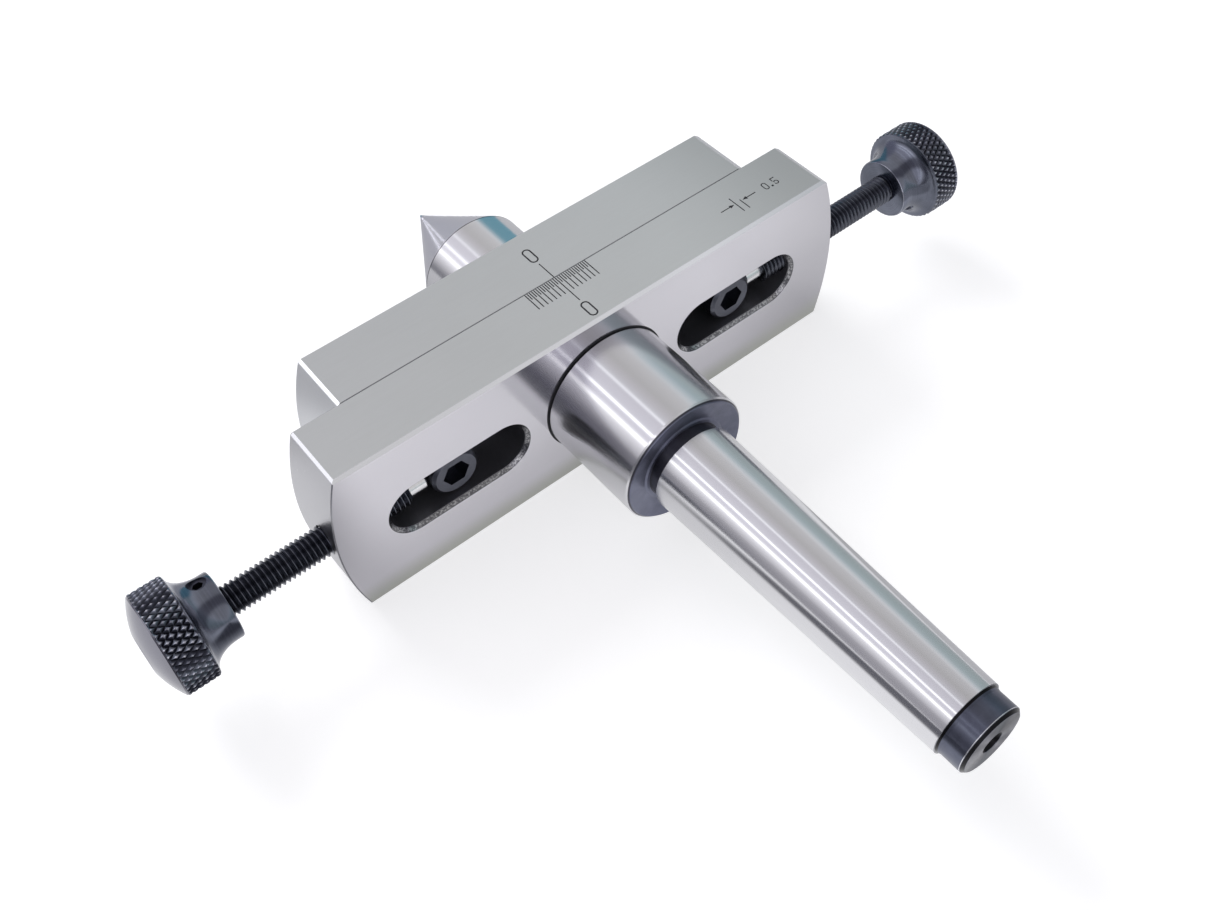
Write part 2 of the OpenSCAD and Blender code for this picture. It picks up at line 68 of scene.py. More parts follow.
# Knobs, from the hub outwards: HUB_EDGE is along and in from the radius, the rest is (x, radius)
HUB_X = 80.0
HUB_RADIUS = 6.5
HUB_EDGE = [(0.0, 0.45), (0.1, 0.15), (0.4, 0.0)]
HUB_STRAIGHT = 1.6
COVE_LENGTH = 5.0
COVE_STEPS = 12
HEAD_X = 86.6
HEAD_END = 93.0
HEAD_RADIUS = 10.0
RIM_RADIUS = 9.94
RIM_CHAMFER = 0.4
RIM_START = (HEAD_X + 0.12, 9.72)
RIM_FINISH = (HEAD_END - 0.1, 9.86)
DOME_END = 95.5
DOME_START_RADIUS = 9.7
DOME_STEPS = 7
DOME_SINK = 0.03
MOUTH_RADIUS = 3.62
MOUTH_ROUND = 0.1
BORE_RADIUS = 3.02
RECESS = [
    (DOME_END - 0.1, MOUTH_RADIUS - 0.05), (DOME_END - 0.6, BORE_RADIUS),
    (THREAD_END, BORE_RADIUS), (HUB_X, BORE_RADIUS),
]
KNOB_SMOOTH_ANGLE = 28

# The knurl on a knob's rim
DIAMONDS_ROUND = 46
DIAMOND_ROWS = 5
BAND_START = HEAD_X + RIM_CHAMFER + 0.1
BAND_END = HEAD_END - 0.25
BAND_STEP = (BAND_END - BAND_START) / DIAMOND_ROWS
BAND_SLACK = 0.05
GROOVE_RADIUS = 9.58
GROOVE_SLACK = 0.2
PEAK_RADIUS = 10.06
PEAK_FLAT = 0.22

# The set screw's hole in a knob's hub
SET_SCREW_X = 82.6
SET_SCREW_RADIUS = 1.77
SET_SCREW_LEAN = {LEFT: (0.3256, 0.9455), RIGHT: (-0.809, -0.5878)}
DRILL_SIDES = 40
DRILL_LENGTH = 6
DRILL_HEIGHT = 5.2

# Points closer together than MERGE are made one, and a cut takes points within CUT_SLACK of it
MERGE = 0.002
CUT_SLACK = 0.0005


# Modelling steps shared by the knobs and the screws
def start_shape():
    if bpy.context.object and bpy.context.object.mode != "OBJECT":
        bpy.ops.object.mode_set(mode="OBJECT")
    bpy.ops.object.select_all(action="DESELECT")


def finish_shape(piece, name, smooth_angle):
    bpy.ops.object.mode_set(mode="OBJECT")
    bpy.ops.object.transform_apply(location=True, rotation=True, scale=True)
    bpy.ops.object.shade_smooth_by_angle(angle=math.radians(smooth_angle))
    piece.name = name
    piece.data.name = name


def pick_points(piece, wanted):
    bpy.ops.mesh.select_all(action="DESELECT")
    bpy.ops.object.mode_set(mode="OBJECT")
    for point in piece.data.vertices:
        point.select = wanted(piece.matrix_world @ point.co)
    bpy.ops.object.mode_set(mode="EDIT")


def turn_ring(side, old, new):
    """Draws the last turned ring out to the next station, given as (x, radius)."""
    bpy.ops.mesh.extrude_edges_move(
        TRANSFORM_OT_translate={"value": (side * (new[0] - old[0]) * MM, 0, 0)}
    )
    size = new[1] / old[1]
    bpy.ops.transform.resize(
        value=(1, size, size), center_override=(side * new[0] * MM, SCREW_Y * MM, 0)
    )


def knob_stations():
    """A knob's outline as (x, radius), from the hub's end over the rim and dome into the bore."""
    cove = []
    for step in range(COVE_STEPS + 1):
        angle = math.radians(90 * step / COVE_STEPS)
        rise = RIM_RADIUS - RIM_CHAMFER - HUB_RADIUS
        cove.append((
            HUB_X + HUB_STRAIGHT + COVE_LENGTH * math.sin(angle),
            HUB_RADIUS + rise * (1 - math.cos(angle)),
        ))
    band = [(BAND_START + BAND_STEP * row, GROOVE_RADIUS) for row in range(DIAMOND_ROWS + 1)]
    dome_height = DOME_END - HEAD_END
    dome_depth = (HEAD_RADIUS ** 2 - MOUTH_RADIUS ** 2 - dome_height ** 2) / dome_height / 2
    dome_radius = math.hypot(HEAD_RADIUS, dome_depth)
    dome = []
    for step in range(DOME_STEPS + 1):
        radius = (
            DOME_START_RADIUS + (MOUTH_RADIUS + MOUTH_ROUND - DOME_START_RADIUS) * step / DOME_STEPS
        )
        bulge = math.sqrt(dome_radius ** 2 - radius ** 2)
        dome.append((HEAD_END - dome_depth + bulge - DOME_SINK, radius))
    hub = [(HUB_X + along, HUB_RADIUS - inward) for along, inward in HUB_EDGE]
    return hub + cove + [RIM_START] + band + [RIM_FINISH] + dome + RECESS


def in_band(point):
    """Whether a point lies on the knurled band round a knob's rim."""
    x = abs(point.x) / MM
    radius = math.hypot(point.y - SCREW_Y * MM, point.z) / MM
    in_length = BAND_START - BAND_SLACK < x < BAND_END + BAND_SLACK
    return in_length and radius > GROOVE_RADIUS - GROOVE_SLACK


def is_peak(point):
    """Every other point of the band is the tip of a diamond."""
    if not in_band(point):
        return False
    row = round((abs(point.x) / MM - BAND_START) / BAND_STEP)
    turn = math.atan2(point.z, point.y - SCREW_Y * MM) / (2 * math.pi)
    return (row + round(turn * 2 * DIAMONDS_ROUND)) % 2 == 1


def model_knob(side, name):
    """A turned knob with a bored hub, a cove, a diamond-knurled rim and a set screw's hole."""
    start_shape()
    bpy.ops.mesh.primitive_circle_add(
        vertices=2 * DIAMONDS_ROUND,
        radius=BORE_RADIUS * MM,
        location=(side * HUB_X * MM, SCREW_Y * MM, 0),
        rotation=(0, math.pi / 2, 0),
    )
    knob = bpy.context.object
    bpy.ops.object.mode_set(mode="EDIT")
    bpy.ops.mesh.select_mode(type="EDGE")
    bpy.ops.mesh.select_all(action="SELECT")
    last = (HUB_X, BORE_RADIUS)
    for station in knob_stations():
        turn_ring(side, last, station)
        last = station
    bpy.ops.mesh.select_mode(type="VERT")
    bpy.ops.mesh.select_all(action="SELECT")
    bpy.ops.mesh.remove_doubles(threshold=MERGE * MM)
    bpy.ops.mesh.normals_make_consistent(inside=False)
    pick_points(knob, is_peak)
    raise_by = PEAK_RADIUS / GROOVE_RADIUS
    bpy.ops.transform.resize(
        value=(1, raise_by, raise_by), center_override=(0, SCREW_Y * MM, 0)
    )
    pick_points(knob, in_band)
    bpy.ops.mesh.select_mode(type="FACE")
    bpy.ops.mesh.quads_convert_to_tris(quad_method="SHORTEST_DIAGONAL")
    bpy.ops.mesh.select_mode(type="VERT")
    pick_points(knob, is_peak)
    bpy.ops.mesh.bevel(offset=PEAK_FLAT * MM, affect="VERTICES")
    finish_shape(knob, name, KNOB_SMOOTH_ANGLE)
    drill_set_screw_hole(knob, side)
    return knob


def drill_set_screw_hole(knob, side):
    lean = SET_SCREW_LEAN[side]
    start_shape()
    bpy.ops.mesh.primitive_cylinder_add(
        vertices=DRILL_SIDES, radius=SET_SCREW_RADIUS * MM, depth=DRILL_LENGTH * MM,
        location=(
            side * SET_SCREW_X * MM,
            (SCREW_Y + DRILL_HEIGHT * lean[0]) * MM,
            DRILL_HEIGHT * lean[1] * MM,
        ),
        rotation=(math.atan2(-lean[0], lean[1]), 0, 0),
    )
    drill = bpy.context.object
    bpy.ops.object.select_all(action="DESELECT")
    knob.select_set(True)
    bpy.context.view_layer.objects.active = knob
    cut = knob.modifiers.new("set screw hole", "BOOLEAN")
    cut.operation = "DIFFERENCE"
    cut.solver = "EXACT"
    cut.object = drill
    bpy.ops.object.modifier_apply(modifier=cut.name)
    bpy.data.objects.remove(drill)
    bpy.ops.object.shade_smooth_by_angle(angle=math.radians(KNOB_SMOOTH_ANGLE))


def model_screw(side, name):
    """A screw with a cut thread: one tooth is wound round the axis and both ends are faced."""
    start_shape()
    bpy.ops.mesh.primitive_plane_add(size=1 * MM, location=(0, SCREW_Y * MM, 0))
    screw = bpy.context.object
    flank = (THREAD_PITCH - CREST_WIDTH) / 2
    depth = CREST_RADIUS - ROOT_RADIUS
    bpy.ops.object.mode_set(mode="EDIT")
    bpy.ops.mesh.select_mode(type="VERT")
    bpy.ops.mesh.select_all(action="SELECT")
    bpy.ops.mesh.merge(type="CENTER")
    bpy.ops.transform.translate(value=(0, ROOT_RADIUS * MM, 0))
    for along, outward in ((flank, depth), (CREST_WIDTH, 0), (flank, -depth)):
        bpy.ops.mesh.extrude_vertices_move(
            TRANSFORM_OT_translate={"value": (along * MM, outward * MM, 0)}
        )
    bpy.ops.object.mode_set(mode="OBJECT")
    wind = screw.modifiers.new("thread", "SCREW")
    wind.axis = "X"
    wind.angle = math.radians(360)
    wind.screw_offset = THREAD_PITCH * MM
    wind.iterations = math.ceil((THREAD_END - THREAD_START) / THREAD_PITCH) + SPARE_TURNS
    wind.steps = wind.render_steps = THREAD_STEPS
    wind.use_merge_vertices = True
    wind.merge_threshold = MERGE * MM
    bpy.ops.object.modifier_apply(modifier=wind.name)
    spare = SPARE_TURNS * THREAD_PITCH / 2
    screw.location.x = (THREAD_START - spare) * MM if side == RIGHT else -(THREAD_END + spare) * MM
    bpy.ops.object.mode_set(mode="EDIT")
    bpy.ops.mesh.select_mode(type="VERT")
    bpy.ops.mesh.select_all(action="SELECT")
    bpy.ops.mesh.remove_doubles(threshold=MERGE * MM)
    for end, outward in ((THREAD_START, -side), (THREAD_END, side)):
        bpy.ops.mesh.select_all(action="SELECT")
        bpy.ops.mesh.bisect(
            plane_co=(side * end * MM, 0, 0), plane_no=(outward, 0, 0),
            use_fill=True, clear_outer=True, threshold=CUT_SLACK * MM,
        )
        pick_points(screw, lambda point: abs(abs(point.x) - end * MM) < MERGE * MM)
        bpy.ops.transform.resize(
            value=(1, FACED_END_SIZE, FACED_END_SIZE),
            center_override=(side * end * MM, SCREW_Y * MM, 0),
        )
    bpy.ops.mesh.select_all(action="SELECT")
    bpy.ops.mesh.normals_make_consistent(inside=False)
    finish_shape(screw, name, SCREW_SMOOTH_ANGLE)
    return screw


# Shader steps shared by the finishes
def add_step(tree, kind, **settings):
    step = tree.nodes.new(kind)
    for setting, value in settings.items():
        setattr(step, setting, value)
    return step


def feed(tree, socket, value):
    if isinstance(value, bpy.types.NodeSocket):
        tree.links.new(value, socket)
    else:
        socket.default_value = value


def work_out(tree, operation, *values):
    step = add_step(tree, "ShaderNodeMath", operation=operation)
    for socket, value in zip(step.inputs, values):
        feed(tree, socket, value)
    return step.outputs[0]


def product(tree, *values):
    result = values[0]
    for value in values[1:]:
        result = work_out(tree, "MULTIPLY", result, value)
    return result


def unsigned(tree, value):
    return work_out(tree, "ABSOLUTE", value)


def distance_off_axis(tree, across, up):
    return work_out(tree, "SQRT", work_out(
        tree, "ADD", work_out(tree, "POWER", across, 2.0), work_out(tree, "POWER", up, 2.0)
    ))


def swing(tree, noise, share):
    """A share of a noise's swing about its middle."""
    return product(tree, work_out(tree, "SUBTRACT", noise, 0.5), share)


def rising(tree, value, low, high):
    """Runs softly from 0 at low to 1 at high, also where high is the smaller one."""
    step = add_step(tree, "ShaderNodeMapRange", interpolation_type="SMOOTHSTEP")
    feed(tree, step.inputs["Value"], value)
    step.inputs["From Min"].default_value = low
    step.inputs["From Max"].default_value = high
    return step.outputs["Result"]


def up_to(tree, value, limit, soft=0.02):
    return rising(tree, value, limit + soft, limit - soft)


def between(tree, value, low, high, soft=0.02):
    above = rising(tree, value, low - soft, low + soft)
    return product(tree, above, up_to(tree, value, high, soft))


def blend_tones(tree, factor, first, second):
    step = add_step(tree, "ShaderNodeMix", data_type="RGBA")
    feed(tree, step.inputs[0], factor)
    feed(tree, step.inputs[6], first)
    feed(tree, step.inputs[7], second)
    return step.outputs[2]


def blend_amounts(tree, factor, first, second):
    step = add_step(tree, "ShaderNodeMix", data_type="FLOAT")
    feed(tree, step.inputs[0], factor)
    feed(tree, step.inputs[2], first)
    feed(tree, step.inputs[3], second)
    return step.outputs[0]


def add_noise(tree, where, **settings):
    step = add_step(tree, "ShaderNodeTexNoise")
    for title, value in settings.items():
        step.inputs[title].default_value = value
    tree.links.new(where, step.inputs["Vector"])
    return step.outputs[0]


def new_effect(name, inputs, outputs):
    effect = bpy.data.node_groups.new(name, "ShaderNodeTree")
    for title, kind, value in inputs:
        socket = effect.interface.new_socket(name=title, in_out="INPUT", socket_type=kind)
        socket.default_value = value
    for title, kind in outputs:
        effect.interface.new_socket(name=title, in_out="OUTPUT", socket_type=kind)
    return effect, effect.nodes.new("NodeGroupInput"), effect.nodes.new("NodeGroupOutput")


def place(tree, effect, **values):
    step = add_step(tree, "ShaderNodeGroup", node_tree=effect)
    for title, value in values.items():
        feed(tree, step.inputs[title], value)
    return step.outputs


NUMBER, TRIPLE, TONE = "NodeSocketFloat", "NodeSocketVector", "NodeSocketColor"


def make_place_effect():
    """Gives a point's place in millimetres and which way its face looks."""
    places, looks = ("X", "Y", "Z"), ("Face X", "Face Y", "Face Z")
    tree, _, out = new_effect(
        "place in millimetres", [], [(title, NUMBER) for title in places + looks]
    )
    where = add_step(tree, "ShaderNodeTexCoord")
    scaled = add_step(tree, "ShaderNodeVectorMath", operation="SCALE")
    tree.links.new(where.outputs["Object"], scaled.inputs[0])
    scaled.inputs["Scale"].default_value = 1 / MM
    for source, titles in ((scaled.outputs[0], places), (where.outputs["Normal"], looks)):
        split = add_step(tree, "ShaderNodeSeparateXYZ")
        tree.links.new(source, split.inputs[0])
        for axis, title in zip("XYZ", titles):
            tree.links.new(split.outputs[axis], out.inputs[title])
    return tree


def make_marks_effect():
    """Fine marks from grinding or turning: long scratches along one axis, and faint clouding."""
    tree, given, out = new_effect(
        "tool marks",
        [("Stretch", TRIPLE, (1, 1, 1)), ("Clouding", NUMBER, 0.5)],
        [("Scratches", NUMBER), ("Clouds", NUMBER), ("Tone", NUMBER)],
    )
    where = add_step(tree, "ShaderNodeTexCoord")
    mapping = add_step(tree, "ShaderNodeMapping")
    tree.links.new(where.outputs["Object"], mapping.inputs["Vector"])
    tree.links.new(given.outputs["Stretch"], mapping.inputs["Scale"])
    fine = add_noise(tree, mapping.outputs[0], Scale=1000, Detail=4, Roughness=0.65)
    cloud = add_noise(tree, where.outputs["Object"], Scale=90, Detail=3)
    tree.links.new(fine, out.inputs["Scratches"])
    tree.links.new(cloud, out.inputs["Clouds"])
    cloud_part = swing(tree, cloud, given.outputs["Clouding"])
    tree.links.new(work_out(tree, "ADD", cloud_part, swing(tree, fine, 0.35)), out.inputs["Tone"])
    return tree


def make_rings_effect():
    """Turning marks: fine rings round an axis along X or Y, on rims, cones and end faces alike."""
    tree, given, out = new_effect(
        "turning rings",
        [
            ("Along", NUMBER, 0.0), ("Across", NUMBER, 0.0),
            ("Up", NUMBER, 0.0), ("Pitch", NUMBER, 0.2),
        ],
        [("Rings", NUMBER)],
    )
    radius = distance_off_axis(tree, given.outputs["Across"], given.outputs["Up"])
    reached = work_out(tree, "ADD", given.outputs["Along"], radius)
    path = work_out(tree, "DIVIDE", reached, given.outputs["Pitch"])
    fine = add_step(tree, "ShaderNodeTexNoise", noise_dimensions="1D")
    fine.inputs["Scale"].default_value = 1
    fine.inputs["Detail"].default_value = 3
    tree.links.new(path, fine.inputs["W"])
    tree.links.new(fine.outputs[0], out.inputs["Rings"])
    return tree


def make_shift_effect():
    """Lightens or darkens a tone by a small amount about its own value."""
    tree, given, out = new_effect(
        "shade a tone",
        [("Tone", TONE, (0.5, 0.5, 0.5, 1)), ("Amount", NUMBER, 0.0)],
        [("Tone", TONE)],
    )
    scale = add_step(tree, "ShaderNodeVectorMath", operation="SCALE")
    tree.links.new(given.outputs["Tone"], scale.inputs[0])
    tree.links.new(work_out(tree, "ADD", given.outputs["Amount"], 1.0), scale.inputs["Scale"])
    tree.links.new(scale.outputs[0], out.inputs["Tone"])
    return tree


place_effect = make_place_effect()
marks_effect = make_marks_effect()
rings_effect = make_rings_effect()
shift_effect = make_shift_effect()


def new_finish(name):
    finish = bpy.data.materials.new(name)
    finish.use_nodes = True
    tree = finish.node_tree
    shader = tree.nodes["Principled BSDF"]
    shader.inputs["Metallic"].default_value = 1.0
    return finish, tree, shader


def set_surface(tree, shader, tone, roughness):
    tree.links.new(tone, shader.inputs["Base Color"])
    tree.links.new(roughness, shader.inputs["Roughness"])


def bump(tree, shader, height, strength, distance):
    step = add_step(tree, "ShaderNodeBump")
    step.inputs["Strength"].default_value = strength
    step.inputs["Distance"].default_value = distance * MM
    feed(tree, step.inputs["Height"], height)
    tree.links.new(step.outputs[0], shader.inputs["Normal"])


def ground_round_the_axis(tree, shader, axis, stretch):
    """Grinding marks run round the axis, so a highlight is drawn out along it."""
    tangent = add_step(tree, "ShaderNodeTangent", direction_type="RADIAL", axis=axis)
    tree.links.new(tangent.outputs[0], shader.inputs["Tangent"])
    shader.inputs["Anisotropic"].default_value = stretch
    shader.inputs["Anisotropic Rotation"].default_value = 0.25


def shaded(tree, tone, amount):
    return place(tree, shift_effect, Tone=tone, Amount=amount)["Tone"]


def rings_about(tree, along, across, up, pitch):
    return place(tree, rings_effect, Along=along, Across=across, Up=up, Pitch=pitch)["Rings"]


def dress(names, finish):
    for name in names:
        data = nodes[name].data
        if not data.materials:
            data.materials.append(finish)
        for index in range(len(data.materials)):
            data.materials[index] = finish


# Tones and roughness of the ground bars
FLAT_TONE = (0.71, 0.722, 0.712, 1)
FACE_TONE = (0.74, 0.728, 0.77, 1)
# Painted shade: the front face's lower part is darker and greener, standing for the shade it
# mirrors.
LOW_FACE_SHADE_TONE = (0.55, 0.56, 0.52, 1)
# Painted shade: the rounded ends of both bars take darker copies of the same ground steel's tone.
SHADED_END_TONE = (0.45, 0.45, 0.47, 1)
SHADED_SHORT_END_TONE = (0.6, 0.61, 0.63, 1)
EDGE_TONE = (0.86, 0.87, 0.9, 1)
# Blackened engraving and parting line; the same tone round the boss's seam is partly the joint and
# partly painted shade.
ENGRAVING_AND_SEAM_SHADE_TONE = (0.035, 0.035, 0.04, 1)
# Painted shade: the slots' insides and the lower rim of the front's ends are darkened as if in
# shade.
SLOT_SHADE_TONE = (0.21, 0.21, 0.23, 1)
MOUTH_TONE = (0.4, 0.4, 0.41, 1)
MOUTH_DARK_TONE = (0.13, 0.13, 0.14, 1)
EDGE_ROUGHNESS = 0.2
FLAT_ROUGHNESS = 0.42
FACE_ROUGHNESS = 0.12
END_ROUGHNESS = 0.3
SLOT_ROUGHNESS = 0.5
ENGRAVED_ROUGHNESS = 0.6

# Where a bar's face looks squarely along an axis, and where the light falls off to the right
SQUARE_ON = (0.97, 0.995)
RIGHT_FALL = (22.0, 60.0)
RIGHT_DIMMING = -0.27

# Places on the bars whose tone differs, along X, Y or Z, or by their reach off the spindle axis
ENGRAVED_Z = (FLAT_Z - 0.25, FLAT_Z - 0.03)
PARTING_LINE_Y = (PARTING_Y - 0.11, PARTING_Y + 0.14)
PARTING_LINE_DEPTH = 0.75
SLOT_X = (18.4, 60.2)
SLOT_Y = (FRONT_Y + 0.78, PARTING_Y - 0.1)
SLOT_HALF_HEIGHT = 5.96
SLOT_REACH = 59.9
MOUTH_X = (17.4, 50.0)
MOUTH_Y = (FRONT_Y + 0.02, FRONT_Y + 0.8)
MOUTH_HALF_HEIGHT = 6.8
TORN_Y = (FRONT_Y + 0.12, FRONT_Y + 0.68)
LOW_FACE_SHADE_Z = (-12.0, -18.5)
# Painted shade: the front's edge round the rounded ends, darker towards the bottom.
FRONT_RIM_SHADE_Y = (FRONT_Y - 0.1, FRONT_Y + 0.19)
FRONT_RIM_SHADE_Z = (11.0, 6.0)
FRONT_RIM_SHADE_REACH = (59.7, 59.8)
# Partly the joint, partly painted shade: the band round the boss's root on the front face.
BOSS_SEAM_SHADE_Y = (FRONT_Y + 1.0, FRONT_Y + 0.9)
BOSS_SEAM_SHADE_REACH = (13.0, 14.1)

FIXED_BAR = {
    "reach": 60.0, "shaded_end_tone": SHADED_END_TONE,
    "engraved_x": 55.6, "engraved_y": (FRONT_Y + 0.75, PARTING_Y - 0.14),
}
SLIDE_BAR = {
    "reach": 51.0, "shaded_end_tone": SHADED_SHORT_END_TONE,
    "engraved_x": 46.0, "engraved_y": (PARTING_Y + 0.16, BACK_Y - 0.4),
}


def show_slots(tree, here, across, reach, face, tone):
    """Slots darkened with painted shade, torn mouths, painted shade low on the front and a painted
    dark rim round the front's ends.
    """
    upward = unsigned(tree, here["Z"])
    slot = product(
        tree,
        between(tree, here["Y"], *SLOT_Y),
        up_to(tree, upward, SLOT_HALF_HEIGHT),
        between(tree, across, *SLOT_X),
        up_to(tree, reach, SLOT_REACH),
    )
    mouth = product(
        tree,
        between(tree, here["Y"], *MOUTH_Y),
        up_to(tree, upward, MOUTH_HALF_HEIGHT),
        between(tree, across, *MOUTH_X),
    )
    where = add_step(tree, "ShaderNodeTexCoord")
    chatter = add_noise(tree, where.outputs["Object"], Scale=2600, Detail=2)
    torn = product(tree, rising(tree, chatter, 0.42, 0.62), between(tree, here["Y"], *TORN_Y))
    tone = blend_tones(tree, mouth, tone, blend_tones(tree, torn, MOUTH_DARK_TONE, MOUTH_TONE))
    # Painted shade: the front face darkens towards its bottom.
    low_face_shade = product(tree, face, rising(tree, here["Z"], *LOW_FACE_SHADE_Z))
    tone = blend_tones(tree, low_face_shade, tone, LOW_FACE_SHADE_TONE)
    # Painted shade: the front's edge round the rounded ends darkens towards the bottom.
    rim = product(
        tree,
        between(tree, here["Y"], *FRONT_RIM_SHADE_Y),
        rising(tree, reach, *FRONT_RIM_SHADE_REACH),
        rising(tree, here["Z"], *FRONT_RIM_SHADE_Z),
    )
    tone = blend_tones(tree, rim, tone, SLOT_SHADE_TONE)
    # Painted shade inside the slots.
    return blend_tones(tree, slot, tone, SLOT_SHADE_TONE), slot


def ground_bar_finish(name, bar):
    """Satin ground flats, smoother faces, bright edges and blackened engraving."""
    finish, tree, shader = new_finish(name)
    here = place(tree, place_effect)
    marks = place(tree, marks_effect, Stretch=(0.16, 1.6, 1.6), Clouding=0.22)
    flat = rising(tree, unsigned(tree, here["Face Z"]), *SQUARE_ON)
    face = rising(tree, unsigned(tree, here["Face Y"]), *SQUARE_ON)
    across = unsigned(tree, here["X"])
    reach = distance_off_axis(tree, here["X"], here["Z"])
    end = rising(tree, reach, bar["reach"] - 0.12, bar["reach"] - 0.04)
    tone = blend_tones(tree, flat, EDGE_TONE, FLAT_TONE)
    tone = blend_tones(tree, face, tone, FACE_TONE)
    # Painted shade: the rounded end takes a darker copy of the steel's tone.
    tone = blend_tones(tree, end, tone, bar["shaded_end_tone"])
    tone = shaded(tree, tone, product(tree, rising(tree, here["X"], *RIGHT_FALL), RIGHT_DIMMING))
    tone = shaded(tree, tone, product(tree, marks["Tone"], blend_amounts(tree, face, 0.2, 0.12)))
    roughness = blend_amounts(tree, flat, EDGE_ROUGHNESS, FLAT_ROUGHNESS)
    roughness = blend_amounts(tree, face, roughness, FACE_ROUGHNESS)
    roughness = blend_amounts(tree, end, roughness, END_ROUGHNESS)
    roughness = work_out(tree, "ADD", roughness, swing(tree, marks["Scratches"], 0.12))
    dark = product(
        tree,
        between(tree, here["Z"], *ENGRAVED_Z, 0.01),
        between(tree, here["Y"], *bar["engraved_y"]),
        up_to(tree, across, bar["engraved_x"]),
    )
    if bar is FIXED_BAR:
        tone, slot = show_slots(tree, here, across, reach, face, tone)
        roughness = blend_amounts(tree, slot, roughness, SLOT_ROUGHNESS)
        # The dark seam round the boss is partly the joint and partly painted shade in the corner.
        seam_and_shade = product(
            tree,
            face,
            between(tree, reach, *BOSS_SEAM_SHADE_REACH),
            rising(tree, here["Y"], *BOSS_SEAM_SHADE_Y),
        )
        dark = work_out(tree, "MAXIMUM", dark, seam_and_shade)
    parting = product(tree, between(tree, here["Y"], *PARTING_LINE_Y), PARTING_LINE_DEPTH)
    parting = product(tree, parting, work_out(tree, "SUBTRACT", 1.0, face))
    dark = work_out(tree, "MAXIMUM", dark, parting)
    tone = blend_tones(tree, dark, tone, ENGRAVING_AND_SEAM_SHADE_TONE)
    roughness = blend_amounts(tree, dark, roughness, ENGRAVED_ROUGHNESS)
    set_surface(tree, shader, tone, roughness)
    tree.links.new(work_out(tree, "SUBTRACT", 1.0, dark), shader.inputs["Metallic"])
    bump(tree, shader, marks["Scratches"], strength=0.05, distance=0.004)
    return finish


# Tones and roughness of the shank and the centre
GROUND_TONE = (0.7, 0.7, 0.72, 1)
# Painted shade: this near-black tone darkens the tail's bore, the shoulder line and the tail's end
# chamfer, and the seam where the boss meets the bar, which is partly the joint itself.
SEAM_AND_SHADE_TONE = (0.02, 0.02, 0.022, 1)
TAIL_TONE = (0.13, 0.14, 0.185, 1)
# Painted highlight: a thin bright line at the edge of the tail's end chamfer.
TAIL_EDGE_HIGHLIGHT_TONE = (0.8, 0.8, 0.83, 1)
TAIL_END_TONE = (0.33, 0.33, 0.35, 1)
NECK_TONE = (0.09, 0.09, 0.11, 1)
BOSS_END_TONE = (0.19, 0.2, 0.27, 1)
# Painted shade: the centre's point takes a darker copy of the ground tone.
SHADED_POINT_TONE = (0.5, 0.5, 0.57, 1)
POINT_LINE_TONE = (0.12, 0.12, 0.14, 1)
SHANK_ROUGHNESS = 0.18
BLACKENED_ROUGHNESS = 0.34
TAIL_END_ROUGHNESS = 0.5
CENTRE_ROUGHNESS = 0.16

# Places on the shank and the centre whose tone differs, along the axis and off it
TAIL_Y = (TAIL_SHOULDER_Y + 0.03, TAIL_SHOULDER_Y - 0.03)
TAIL_END_LOOKS = (-0.9, -0.98)
# Painted shade: the tail's bore and a line at the shoulder are darkened.
TAIL_BORE_Y = (TAIL_END_Y + 0.02, TAIL_END_Y + 0.1)
TAIL_BORE_REACH = (2.26, 2.2)
TAIL_SHOULDER_SHADE_Y = (TAIL_SHOULDER_Y - 0.45, TAIL_SHOULDER_Y - 0.02)
# Painted shade on the tail's end chamfer.
TAIL_RIM_SHADE_Y = (TAIL_END_Y + 0.03, TAIL_END_Y + 0.52)
TAIL_RIM_SHADE_REACH = (5.9, 6.1)
# Painted highlight along the tail's edge.
TAIL_EDGE_HIGHLIGHT_Y = (TAIL_END_Y + 0.58, TAIL_END_Y + 0.7)
TAIL_EDGE_HIGHLIGHT_REACH = (6.0, 6.2)
NECK_Y = (TAPER_LARGE_Y + 0.05, BOSS_END_Y + 0.42)
BOSS_FACE_Y = (BOSS_END_Y - 0.1, BOSS_END_Y + 0.65)
BOSS_FACE_REACH = (8.3, 13.2)
# Partly the joint, partly painted shade: the boss's dark seam where it meets the bar.
SHANK_SEAM_SHADE_Y = (FRONT_Y - 0.42, FRONT_Y + 0.1)
SHANK_SEAM_SHADE_REACH = (12.9, 13.0)
POINT_Y = (72.6, 72.9)
POINT_LINE_Y = (72.5, 72.68)


